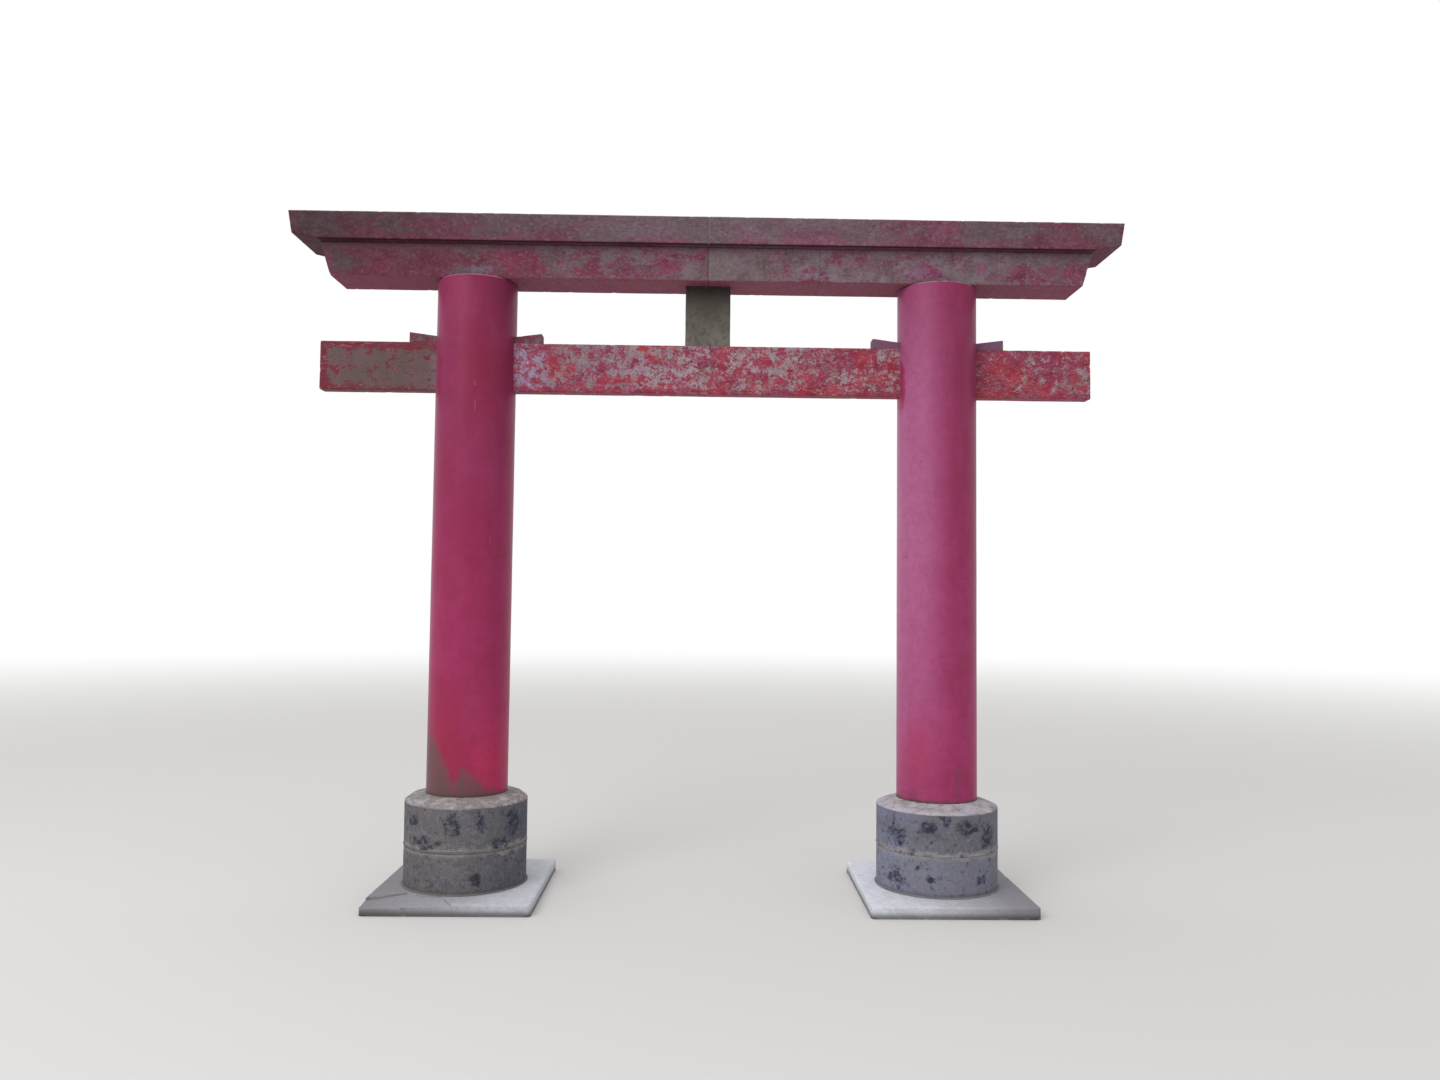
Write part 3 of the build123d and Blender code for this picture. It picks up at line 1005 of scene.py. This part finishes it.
def lower_lintel_paint():
    """Maroon paint under a grey crust, thin and dark on the left and paler to the right."""
    finish = Finish("lower_lintel_paint", shade(116, 42, 62), roughness=0.75, gloss=0.15)
    rightward = finish.graph(finish.x, [(-1.76, 0.0), (-0.9, 0.25), (0.0, 0.8), (0.6, 1.0)])
    finish.lay(shade(136, 62, 94), rightward, cover=0.8)
    left_end = finish.ramp(finish.x, start=-0.9, end=-1.3)
    finish.lay(shade(92, 36, 50), left_end, cover=0.7)
    deep = finish.patches(
        size=0.10, share=0.4, softness=0.3, stretch=(1.5, 1, 0.8), detail=7.0, shift=15.0
    )
    finish.lay(shade(80, 32, 44), deep, cover=0.6)
    crust = finish.mix(shade(88, 74, 74), shade(126, 115, 120), rightward)
    stained = finish.patches(size=0.08, share=0.5, softness=0.25, detail=7.0)
    crust = finish.mix(crust, shade(86, 75, 68), stained, cover=0.75)
    far_left = finish.ramp(finish.x, start=-1.2, end=-1.5)
    crust = finish.mix(crust, shade(60, 46, 46), far_left, cover=0.5)
    along = [
        (-1.76, 0.20),
        (-1.6, 0.45),
        (-1.1, 0.35),
        (-0.6, 0.5),
        (0.0, 0.62),
        (0.8, 0.62),
        (1.76, 0.5),
    ]
    drift = finish.swing(size=0.22, detail=3.0, shift=12.0)
    crusted = finish.patches(
        size=0.08,
        share=finish.scaled(drift, by=2.2, plus=finish.graph(finish.x, along)),
        softness=0.16,
        frayed=0.7,
        stretch=(1.5, 1, 0.9),
        detail=8.0,
        grain=0.7,
    )
    finish.lay(crust, crusted, cover=0.9)
    crusty = [
        ((0.72, -0.114, 2.80), (0.30, 0.1, 0.14)),
        ((1.25, -0.114, 2.76), (0.16, 0.1, 0.08)),
    ]
    greyed = finish.blots(crusty, size=0.06, raggedness=1.4, softness=0.5)
    finish.lay(crust, greyed, cover=0.6)
    rosy = [
        ((0.98, -0.114, 2.815), (0.13, 0.1, 0.07)),
        ((1.24, -0.114, 2.83), (0.06, 0.1, 0.05)),
        ((1.20, -0.114, 2.73), (0.09, 0.1, 0.03)),
    ]
    reddened = finish.blots(rosy, size=0.03, raggedness=1.2, softness=0.5)
    finish.lay(shade(134, 56, 96), reddened, cover=0.55)
    ragged = finish.scaled(finish.clouds(size=0.03, detail=6.0), by=0.1, plus=finish.x)
    past_joint = finish.ramp(finish.x, start=-0.002, end=0.0)
    bared = finish.product(past_joint, finish.ramp(ragged, start=0.19, end=0.14))
    finish.lay(shade(116, 108, 106), bared, cover=0.7)
    blue = [((-1.03, -0.114, 2.785), (0.10, 0.1, 0.05)), ((0.95, -0.114, 2.80), (0.10, 0.1, 0.05))]
    blued = finish.blots(blue, size=0.02, raggedness=1.6, softness=0.5)
    finish.lay(shade(132, 122, 144), blued, cover=0.4)
    low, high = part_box("left_lower_lintel")
    # The underside keeps clear maroon paint, lightened as painted light bounced up from below.
    underside = finish.ramp(finish.z, start=low.z + 0.005, end=low.z + 0.002)
    finish.lay(shade(138, 66, 86), underside, cover=0.85)
    # Painted light: the top of the face is lightened against the shade under the upper lintel.
    top_strip = finish.ramp(finish.z, start=high.z - 0.045, end=high.z - 0.012)
    finish.lay(shade(140, 110, 120), top_strip, cover=0.35)
    weathered(finish)
    crack_x = 0.505
    off_crack = finish.scaled(finish.swing(size=0.05, detail=5.0), by=0.02, plus=-crack_x)
    off_crack = finish.math("ABSOLUTE", finish.math("ADD", finish.x, off_crack))
    crack = finish.ramp(off_crack, start=0.0024, end=0.0008)
    finish.lay(shade(56, 44, 46), crack, cover=0.6)
    finish.relief(crack, depth=-0.001)
    finish.relief(crusted, depth=0.0004)
    return finish.finished()


def upper_lintel_paint():
    """Faded maroon paint, clear low on the face and at the ends, under level bands of crust, with
    painted shade under the front of the underside and painted light at the joint and the top
    arris.
    """
    finish = Finish("upper_lintel_paint", shade(84, 36, 46), roughness=0.8, gloss=0.15)
    rightward = finish.graph(finish.x, [(-1.89, 0.0), (-1.3, 0.15), (-0.5, 0.7), (0.2, 1.0)])
    finish.lay(shade(132, 76, 100), rightward)
    along = [
        (-1.90, 0.8),
        (-1.83, 0.5),
        (-1.78, 0.0),
        (0.40, 0.0),
        (0.90, 0.3),
        (1.50, 0.75),
        (1.90, 1.0),
    ]
    ends = finish.graph(finish.x, along)
    finish.lay(shade(104, 38, 52), ends, cover=0.8)
    deep = finish.patches(
        size=0.12, share=0.4, softness=0.3, stretch=(2, 1, 0.8), detail=7.0, shift=15.0
    )
    finish.lay(shade(88, 42, 56), deep, cover=0.6)
    crust = finish.mix(shade(58, 48, 44), shade(109, 97, 103), rightward)
    stained = finish.patches(size=0.12, share=0.45, softness=0.2, stretch=(2, 1, 0.6))
    crust = finish.mix(crust, shade(84, 74, 72), stained, rightward, cover=0.6)
    crust = finish.mix(crust, shade(84, 66, 68), ends, cover=0.5)
    height = finish.math("SUBTRACT", finish.z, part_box("left_upper_lintel")[0].z)
    share = finish.graph(height, [(0.0, 0.05), (0.018, 0.2), (0.045, 0.5), (0.15, 0.75)])
    share = finish.scaled(rightward, by=0.28, plus=share)
    share = finish.scaled(ends, by=-0.5, plus=share)
    drift = finish.swing(size=0.25, detail=3.0, shift=14.0)
    crusted = finish.patches(
        size=0.10,
        share=finish.scaled(drift, by=1.9, plus=share),
        softness=0.2,
        frayed=0.7,
        stretch=(2.2, 1, 0.7),
        detail=8.0,
        grain=0.7,
    )
    finish.lay(crust, crusted, cover=0.85)
    left_end = finish.ramp(finish.x, start=-1.45, end=-1.7)
    finish.lay(shade(58, 42, 42), left_end, cover=0.6)
    bands = finish.clouds(size=0.012, detail=5.0, stretch=(12, 12, 1), shift=3.0)
    finish.lay(shade(62, 52, 54), finish.ramp(bands, start=0.5, end=0.75), cover=0.45)
    weathered(finish)
    # Painted shade: the front of the underside, over the lower course, is painted nearly black.
    underside = finish.ramp(height, start=0.004, end=0.001)
    from_middle = finish.math("ABSOLUTE", finish.x)
    over_course = finish.ramp(from_middle, start=1.77, end=1.74)
    from_axis = finish.math("ABSOLUTE", finish.y)
    outward = finish.graph(from_axis, [(0.114, 0.1), (0.135, 0.5), (0.148, 1.0), (0.16, 1.0)])
    finish.lay(shade(52, 20, 30), underside, over_course, outward, cover=0.85)
    past_course = finish.ramp(from_middle, start=1.74, end=1.77)
    finish.lay(shade(124, 50, 68), underside, past_course, cover=0.75)
    # Painted light: the groove at the joint of the halves is lightened so that its shade is
    # weaker.
    joint = finish.ramp(from_middle, start=0.0045, end=0.0030)
    finish.lay(shade(138, 116, 124), joint, cover=0.55)
    upward = finish.ramp(height, start=0.1255, end=0.128)
    lichen = finish.patches(size=0.05, share=0.45, softness=0.1, frayed=0.8, detail=8.0, shift=8.0)
    finish.lay(shade(124, 120, 112), upward, lichen, cover=0.6)
    # A pale line along the top front arris, broken in patches: partly wear, partly a painted
    # highlight of sky on the edge.
    arris = finish.ramp(height, start=0.119, end=0.124)
    arris_highlight_and_wear = finish.patches(size=0.05, share=0.6, softness=0.3)
    finish.lay(shade(150, 142, 144), arris, arris_highlight_and_wear, cover=0.5)
    finish.relief(crusted, depth=0.0004)
    return finish.finished()


lintel_materials = {"lower": lower_lintel_paint(), "upper": upper_lintel_paint()}
for course in ("lower", "upper"):
    for side in ("left", "right"):
        node = f"{side}_{course}_lintel"
        lintel = cast_of(node, node + "_cast")
        cut_into_cells(lintel, lintel_cell)
        seats = [(0, 0.0), (2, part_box(side + "_lower_lintel")[1].z)]
        press_in(lintel, lintel_dips, lintel_dip_size, seats=seats)
        chip_edges(lintel, lintel_chips, lintel_chip_size, seats=seats)
        put_in_place(lintel, node, lintel_materials[course])


# Studio: a pale floor out to the horizon, a white background, and soft light from the sky and from
# one wide lamp above the camera's left shoulder.
floor_size = 60
floor_fade = (5.0, 22.0)
lamp_place = Vector((-4.5, -6.0, 6.5))
lamp_aim = Vector((0, 0, 1.2))
lamp_size = 5.0
lamp_power = 270.0
sky_left = 0.62
sky_right = 0.44
sky_at_horizon = 0.6
sky_overhead = 2.6


def background_rays(nodes):
    """1 for the rays that look at the background: from the camera, or off or through a surface."""
    rays = nodes.add("LightPath").outputs
    kinds = ("Is Camera Ray", "Is Glossy Ray", "Is Transmission Ray")
    return nodes.greatest(*[rays[kind] for kind in kinds])


bpy.ops.object.select_all(action="DESELECT")
bpy.ops.mesh.primitive_plane_add(size=floor_size)
floor = bpy.context.object
floor.name = "floor"
floor_finish = Finish("floor", shade(204, 203, 201), roughness=0.9, gloss=0.0)
floor_finish.finished()
distance = floor_finish.add("VectorMath", {0: floor_finish.place}, operation="LENGTH")
seen = background_rays(floor_finish)
white = floor_finish.add("Emission", {"Color": (1, 1, 1, 1), "Strength": 1.0}).outputs[0]
far = floor_finish.ramp(distance.outputs["Value"], *floor_fade)
fade = floor_finish.product(far, seen)
surface = floor_finish.shader.outputs[0]
blend = floor_finish.add("MixShader", {0: fade, 1: surface, 2: white}).outputs[0]
floor_finish.tree.links.new(blend, floor_finish.tree.nodes["Material Output"].inputs["Surface"])
floor.data.materials.append(floor_finish.material)

bpy.ops.object.light_add(type="AREA", location=lamp_place)
lamp = bpy.context.object
lamp.name = "lamp"
lamp.data.shape = "DISK"
lamp.data.size = lamp_size
lamp.data.energy = lamp_power
lamp.rotation_euler = (lamp_aim - lamp_place).to_track_quat("-Z", "Y").to_euler()

world = bpy.data.worlds.new("world")
bpy.context.scene.world = world
world.use_nodes = True
sky = Nodes(world.node_tree)
toward = sky.add("SeparateXYZ", {0: sky.add("TexCoord").outputs["Generated"]}).outputs
inputs = {"Value": toward["X"], "From Min": -1.0, "To Min": sky_left, "To Max": sky_right}
across = sky.add("MapRange", inputs).outputs[0]
inputs = {"Value": toward["Z"], "To Min": sky_at_horizon, "To Max": sky_overhead}
upward = sky.add("MapRange", inputs).outputs[0]
inputs = {"Factor": background_rays(sky), "A": sky.product(across, upward), "B": 1.0}
strength = sky.add("Mix", inputs).outputs["Result"]
background = world.node_tree.nodes["Background"]
sky.feed(background, "Color", (1, 1, 1, 1))
sky.feed(background, "Strength", strength)
